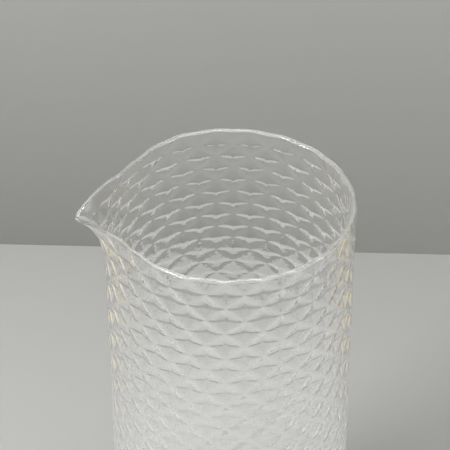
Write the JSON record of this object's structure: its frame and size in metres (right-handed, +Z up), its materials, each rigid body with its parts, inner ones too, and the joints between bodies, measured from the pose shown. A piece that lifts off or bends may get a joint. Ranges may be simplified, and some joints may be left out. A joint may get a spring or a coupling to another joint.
{
  "type": "carafe",
  "caption": "Straight cylindrical clear-glass carafe with a moulded diamond-dent pattern, an open fire-polished rim pulled into a pouring lip and a flat heavy base.",
  "frame": {"origin": "middle of the flat underside", "axes": "+Z up along the carafe's axis, -X towards the tip of the pouring lip"},
  "size_m": [0.1001, 0.0898, 0.2],
  "materials": {
    "glass": "clear colourless glass, smooth and fire-polished, with moulded relief"
  },
  "bodies": {
    "root": {"base": "glass", "patterned_wall": "glass", "pouring_rim": "glass"}
  },
  "joints": []
}
